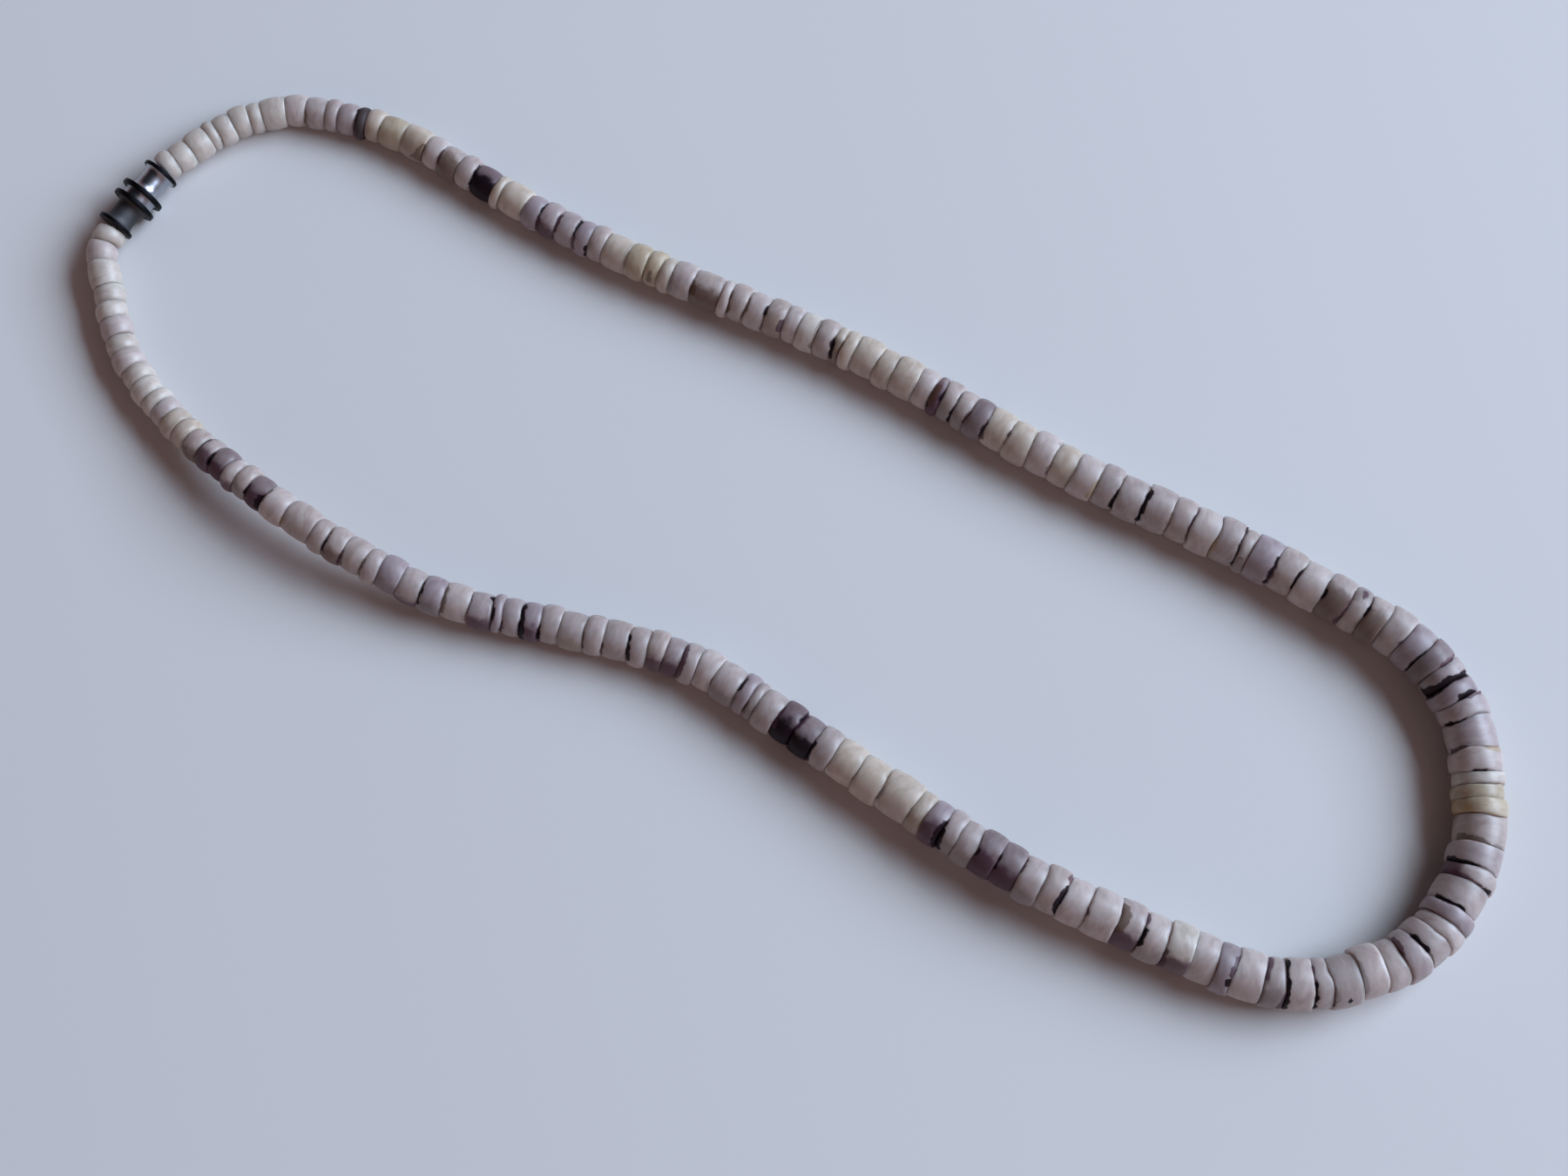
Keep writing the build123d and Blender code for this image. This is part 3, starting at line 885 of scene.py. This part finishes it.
values = {"Scale": 1 / MOTTLE_SIZE, "Detail": 2.0}
mottle = add(tree, "TexNoise", values, {"Vector": stored["place"]["Vector"]}).outputs["Fac"]
rough = add(tree, "MapRange", span((0, 1), SHELL_ROUGHNESS), {"Value": mottle}).outputs[0]
brightness = add(tree, "RGBToBW", links={0: colour}).outputs[0]
gloss = add(tree, "MapRange", span(GLOSS_FROM, GLOSS), {"Value": brightness}).outputs[0]
values = {"Scale": 1 / GRIT_SIZE, "Detail": 2.0}
grit = add(tree, "TexNoise", values, {"Vector": stored["grain"]["Vector"]}).outputs["Fac"]
values = {"Strength": GRIT_STRENGTH, "Distance": GRIT_DEPTH * MM}
bump = add(tree, "Bump", values, {"Height": grit}).outputs[0]
links = {"Base Color": colour, "Roughness": rough, "Specular IOR Level": gloss, "Normal": bump}
fill(tree, shader, {"IOR": SHELL_IOR, "Subsurface Weight": 1.0}, links)
fill(tree, shader, {"Subsurface Radius": BLEED_COLOUR, "Subsurface Scale": BLEED_DEPTH * MM})
print("ground shell:", len(tree.nodes), "nodes")

# %% Make the discs in two pieces
HALF_STRING = DISCS // 2
GRAIN_AROUND = 2.4
GRAIN_SHIFT = 40.0
LAYER_SLOPE = 0.25

disc_tilt = rng.uniform(-LAYER_SLOPE, LAYER_SLOPE, (DISCS, 2))
disc_shift = rng.uniform(0, GRAIN_SHIFT, (DISCS, 3))


def disc_fields(chosen):
    """What the shell material reads at each vertex of the chosen discs: the distances to the start face, the
    end face and the middle, the marks' widths and inks, the shade's cover and ink, the ground colour, a
    place in the grain, stretched so that its bands run round the disc, and a place that isn't stretched."""
    z, r = along[chosen], across[chosen]
    start, end = edge_place[chosen, 0, :, None], edge_place[chosen, 1, :, None]
    x, y = r * cosine, r * sine
    tilt = disc_tilt[chosen, None, None, :]
    layer = z + tilt[..., 0] * x + tilt[..., 1] * y
    shift = disc_shift[chosen, None, None, :]
    # The shade is partly the shell's own dark patches and partly painted shade on the strand's shaded side.
    shade = np.stack([shade_cover[chosen], shade_ink[chosen], shade_ink[chosen]], axis=-1)
    fields = {
        "place": np.stack([z + start, end - z, z - (end - start) / 2], axis=-1),
        "mark_width": np.swapaxes(mark_width[chosen], 1, 2)[:, :, None, :],
        "mark_ink": np.swapaxes(mark_ink[chosen], 1, 2)[:, :, None, :],
        "shade": shade[:, :, None, :],
        "tone": tone[chosen, None, None, :],
        "grain": np.stack([x / GRAIN_AROUND, y / GRAIN_AROUND, layer], axis=-1) + shift,
        "shell_place": np.stack([x, y, z], axis=-1) + shift,
    }
    return {name: np.broadcast_to(values, (*z.shape, values.shape[-1])) for name, values in fields.items()}


def make_discs(name, chosen):
    """Makes one run of the string as a piece."""
    faces = grid_faces(len(chosen), AROUND, PROFILE)
    piece = new_piece(name, surface[chosen], faces, shell)
    for field, values in disc_fields(chosen).items():
        store(piece, field, values)
    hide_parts("shell_discs")
    print(name, len(chosen), "discs,", 2 * len(faces), "triangles")


make_discs("discs_screw_side", np.arange(HALF_STRING))
make_discs("discs_socket_side", np.arange(HALF_STRING, DISCS))

# %% [markdown]
# ## The clasp
#
# A barrel screw clasp is turned from brass or steel and plated with nickel, which mirrors the room: mostly
# dark, with the window as a hard white patch. On this one the socket half's plating has gone dull, and the
# grime of many fingers blackens the flanges. Each half is a surface of revolution, so it is its profile
# carried round an axis. The axis is the line through the middles of the two CAD halves.


# %% Find the clasp's axis
def node_middle(name):
    """The mean of a node's surface, which lies on the axis of a turned part, and the node's points."""
    points, triangles = node_mesh(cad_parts[name])
    middle, _ = facing_of(points, triangles, np.zeros(len(points), int), 1)
    return middle[0], points


screw_centre, screw_points = node_middle("clasp_screw_half")
socket_centre, socket_points = node_middle("clasp_socket_half")
clasp_axis = unit(screw_centre - socket_centre)
clasp_start = ((socket_points - socket_centre) @ clasp_axis).min()
clasp_end = ((screw_points - socket_centre) @ clasp_axis).max()
print("clasp length", (clasp_end - clasp_start).round(2), "mm, axis", clasp_axis.round(3))

# %% Name the clasp's sizes
END_FLANGE_RADIUS, END_FLANGE_THICKNESS = 2.5, 0.5
BARREL_LENGTH, WAIST_RADIUS, FOOT_RADIUS = 3.2, 1.75, 2.1
FLANGE_RADIUS, FLANGE_THICKNESS = 3.0, 0.6
NECK_RADIUS, NECK_LENGTH = 2.15, 1.05
CORD_HOLE_RADIUS, CORD_HOLE_DEPTH = 0.4, 1.0
CORE_RADIUS = 0.2
STUD_RADIUS, STUD_LENGTH = 0.9, 1.5
SOCKET_RADIUS, SOCKET_DEPTH = 1.0, 1.6
WORN_EDGE = 0.11
CLASP_AROUND = 96
BARREL_STEPS = 9
EDGE_STEPS = 5


def waist():
    """Points of a barrel's waisted side: the foot's radius, less a dip that is nearly level along the
    middle, one minus the fourth power of the share of the way from the middle to an end."""
    share = np.linspace(0, 1, BARREL_STEPS)
    dip = (FOOT_RADIUS - WAIST_RADIUS) * (1 - (2 * share - 1) ** 4)
    return np.column_stack([END_FLANGE_THICKNESS + share * BARREL_LENGTH, FOOT_RADIUS - dip])


def round_corners(points, reach):
    """A closed profile with each corner worn: the corner is replaced by a quadratic curve that starts and
    ends a reach away along its two sides, or at a third of a side that is shorter."""
    ends = []
    for step in (1, -1):
        side = np.roll(points, step, axis=0) - points
        length = np.linalg.norm(side, axis=1, keepdims=True)
        ends.append(points + side * np.minimum(reach / length, 1 / 3))
    first, last = (end[:, None] for end in ends)
    share = np.linspace(0, 1, EDGE_STEPS)[None, :, None]
    curve = (1 - share) ** 2 * first + 2 * share * (1 - share) * points[:, None] + share**2 * last
    return curve.reshape(-1, 2)


def turned(profile, origin, direction):
    """A profile of distance along and radius carried round the axis, as a grid of angle and profile point."""
    turn = np.arange(CLASP_AROUND) * 2 * np.pi / CLASP_AROUND
    side = unit(np.cross(direction, (0.0, 0.0, 1.0)))
    top = np.cross(side, direction)
    way = np.cos(turn)[:, None] * side + np.sin(turn)[:, None] * top
    return origin + profile[None, :, :1] * direction + profile[None, :, 1:] * way[:, None, :]


# %% Draw the two profiles
def half_profile(inner_end):
    """A half's outside from its end flange to its inner flange, then the points of its inner end, and back
    along its hole. Each point is a distance along the axis and one out from it."""
    outside = [(0, CORD_HOLE_RADIUS), (0, END_FLANGE_RADIUS), (END_FLANGE_THICKNESS, END_FLANGE_RADIUS)]
    flange = [(INNER_FACE - FLANGE_THICKNESS, FLANGE_RADIUS), (INNER_FACE, FLANGE_RADIUS)]
    hole = [(CORD_HOLE_DEPTH, CORE_RADIUS), (CORD_HOLE_DEPTH, CORD_HOLE_RADIUS)]
    return np.array([*outside, *waist(), *flange, *inner_end, *hole])


INNER_FACE = END_FLANGE_THICKNESS + BARREL_LENGTH + FLANGE_THICKNESS
NECK_FACE = INNER_FACE + NECK_LENGTH
STUD_FACE = NECK_FACE + STUD_LENGTH
SOCKET_FLOOR = INNER_FACE - SOCKET_DEPTH
neck = [(INNER_FACE, NECK_RADIUS), (NECK_FACE, NECK_RADIUS)]
stud = [(NECK_FACE, STUD_RADIUS), (STUD_FACE, STUD_RADIUS), (STUD_FACE, CORE_RADIUS)]
socket = [(INNER_FACE, SOCKET_RADIUS), (SOCKET_FLOOR, SOCKET_RADIUS), (SOCKET_FLOOR, CORE_RADIUS)]
screw_profile = half_profile([*neck, *stud])
socket_profile = half_profile(socket)
print("profiles have", len(screw_profile), "and", len(socket_profile), "corners")

# %% Plate and turn the clasp
TARNISH_SIZE = 1.4
BRIGHT_COLOURS, BRIGHT_ROUGHNESS = ("#8E939C", "#C0C4CC"), (0.26, 0.36)
DULL_COLOURS, DULL_ROUGHNESS = ("#454547", "#606062"), (0.58, 0.70)
GRIME_FROM = (2.2, 2.4)
GRIME_COLOUR, GRIME_ROUGHNESS = "#1B1C20", 0.5


def nickel_plate(name, colours, roughness):
    """Nickel plate whose tarnish changes its tone and its roughness between two values, with the dark grime
    of the fingers on what stands further out than the barrel, the flanges."""
    material, tree, shader = new_material(name)
    place = add(tree, "TexCoord").outputs["Object"]
    values = {"Scale": 1 / (TARNISH_SIZE * MM), "Detail": 3.0}
    tarnish = add(tree, "TexNoise", values, {"Vector": place}).outputs["Fac"]
    plate = add(tree, "ValToRGB", links={"Fac": tarnish})
    set_stops(plate, colours, (1, 1))
    rough = add(tree, "MapRange", span((0, 1), roughness), {"Value": tarnish}).outputs[0]
    turning = add(tree, "Attribute", attribute_name="turning").outputs["Vector"]
    out = add(tree, "SeparateXYZ", links={0: turning}).outputs["Y"]
    grime = add(tree, "MapRange", span(GRIME_FROM), {"Value": out}, **SMOOTH).outputs[0]
    links = {0: grime, 6: plate.outputs["Color"]}
    colour = add(tree, "Mix", {7: linear(GRIME_COLOUR)}, links, data_type="RGBA").outputs[2]
    rough = add(tree, "Mix", {3: GRIME_ROUGHNESS}, {0: grime, 2: rough}).outputs[0]
    fill(tree, shader, {"Metallic": 1.0}, {"Base Color": colour, "Roughness": rough})
    return material


bright_plate = nickel_plate("bright_nickel_plate", BRIGHT_COLOURS, BRIGHT_ROUGHNESS)
dull_plate = nickel_plate("dull_nickel_plate", DULL_COLOURS, DULL_ROUGHNESS)


def make_half(name, profile, origin, direction, material, node):
    """Makes one half of the clasp, whose material reads the place on the profile."""
    worn = round_corners(profile, WORN_EDGE)
    grid = turned(worn, origin, direction)
    faces = grid_faces(1, CLASP_AROUND, len(worn))
    piece = new_piece(name, grid, faces, material)
    store(piece, "turning", np.broadcast_to(np.pad(worn, ((0, 0), (0, 1))), grid.shape))
    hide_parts(node)
    print(name, 2 * len(faces), "triangles")


screw_end = socket_centre + clasp_axis * clasp_end
socket_end = socket_centre + clasp_axis * clasp_start
make_half("screw_half_plated", screw_profile, screw_end, -clasp_axis, bright_plate, "clasp_screw_half")
make_half("socket_half_plated", socket_profile, socket_end, clasp_axis, dull_plate, "clasp_socket_half")

# %% [markdown]
# ## The thread
#
# The beading thread is a twisted white polyester cord about half a millimetre thick. Between touching
# discs it hardly shows, so the CAD solid is its whole form, and only its finish is given here.

# %% Finish the thread
THREAD_COLOUR, THREAD_ROUGHNESS = "#D6CEC0", 0.7

cord, tree, shader = new_material("polyester_thread")
fill(tree, shader, {"Base Color": linear(THREAD_COLOUR), "Roughness": THREAD_ROUGHNESS})
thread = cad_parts["thread"]
thread.data.materials.clear()
thread.data.materials.append(cord)
print("thread keeps its CAD shape")

# %% [markdown]
# ## The table top and the light
#
# The necklace lies on a satin white board by a window. One large soft light stands for the window, low
# enough that the strand's far side falls into shade, and the dim warm room fills the shadows with brown.
# The wall across from the window is the brighter one. Overhead the room is nearly black, as the metal shows.

# %% Lay the floor
FLOOR_SIZE = 3.0
BOARD_COLOUR, BOARD_ROUGHNESS, BOARD_GLOSS = "#D3D1CF", 0.5, 0.05

floor_mesh = bpy.data.meshes.new("floor")
half = FLOOR_SIZE / 2
corners = [(-half, -half, 0), (half, -half, 0), (half, half, 0), (-half, half, 0)]
floor_mesh.from_pydata(corners, [], [(0, 1, 2, 3)])
floor = bpy.data.objects.new("floor", floor_mesh)
bpy.context.scene.collection.objects.link(floor)
board, tree, shader = new_material("satin_white_board")
values = {"Base Color": linear(BOARD_COLOUR), "Roughness": BOARD_ROUGHNESS}
fill(tree, shader, {**values, "Specular IOR Level": BOARD_GLOSS})
floor_mesh.materials.append(board)
print("floor laid")

# %% Hang the window and light the room
WINDOW_FROM = np.array((0.694, -0.719, 0.0))
WINDOW_HEIGHT_ANGLE = math.radians(35)
WINDOW_DISTANCE = 1.8
WINDOW_SIZE = (1.6, 1.1)
WINDOW_POWER = 60.5
WINDOW_COLOUR = (0.65, 0.80, 1.0)
WINDOW_WALL = (0.212, 0.153, 0.166, 1.0)
FAR_WALL = (0.450, 0.292, 0.272, 1.0)
DARK_COLOUR = (0.012, 0.011, 0.014, 1.0)
DARK_WAY = (-0.05, 0.50, 0.86)
DARK_EDGE = (0.56, 0.80)

lamp = bpy.data.lights.new("window", "AREA")
lamp.shape = "RECTANGLE"
lamp.size, lamp.size_y = WINDOW_SIZE
lamp.energy = WINDOW_POWER
lamp.color = WINDOW_COLOUR
window = bpy.data.objects.new("window", lamp)
bpy.context.scene.collection.objects.link(window)
level = math.cos(WINDOW_HEIGHT_ANGLE) * WINDOW_DISTANCE
height = math.sin(WINDOW_HEIGHT_ANGLE) * WINDOW_DISTANCE
window.location = WINDOW_FROM * level + (0, 0, height)
window.rotation_mode = "QUATERNION"
window.rotation_quaternion = window.location.to_track_quat("Z", "Y")

world = bpy.data.worlds.new("room")
world.use_nodes = True
tree = world.node_tree
way = add(tree, "TexCoord").outputs["Generated"]
towards = add(tree, "VectorMath", {1: WINDOW_FROM}, {0: way}, operation="DOT_PRODUCT").outputs["Value"]
nearer = add(tree, "MapRange", span((-1, 1)), {"Value": towards}).outputs[0]
walls = add(tree, "Mix", {6: FAR_WALL, 7: WINDOW_WALL}, {0: nearer}, data_type="RGBA").outputs[2]
over = add(tree, "VectorMath", {1: DARK_WAY}, {0: way}, operation="DOT_PRODUCT").outputs["Value"]
dark = add(tree, "MapRange", span(DARK_EDGE), {"Value": over}, **SMOOTH).outputs[0]
room = add(tree, "Mix", {7: DARK_COLOUR}, {0: dark, 6: walls}, data_type="RGBA").outputs[2]
fill(tree, tree.nodes["Background"], links={"Color": room})
bpy.context.scene.world = world
bpy.context.scene.view_settings.view_transform = "Standard"
print("window", WINDOW_POWER, "W")
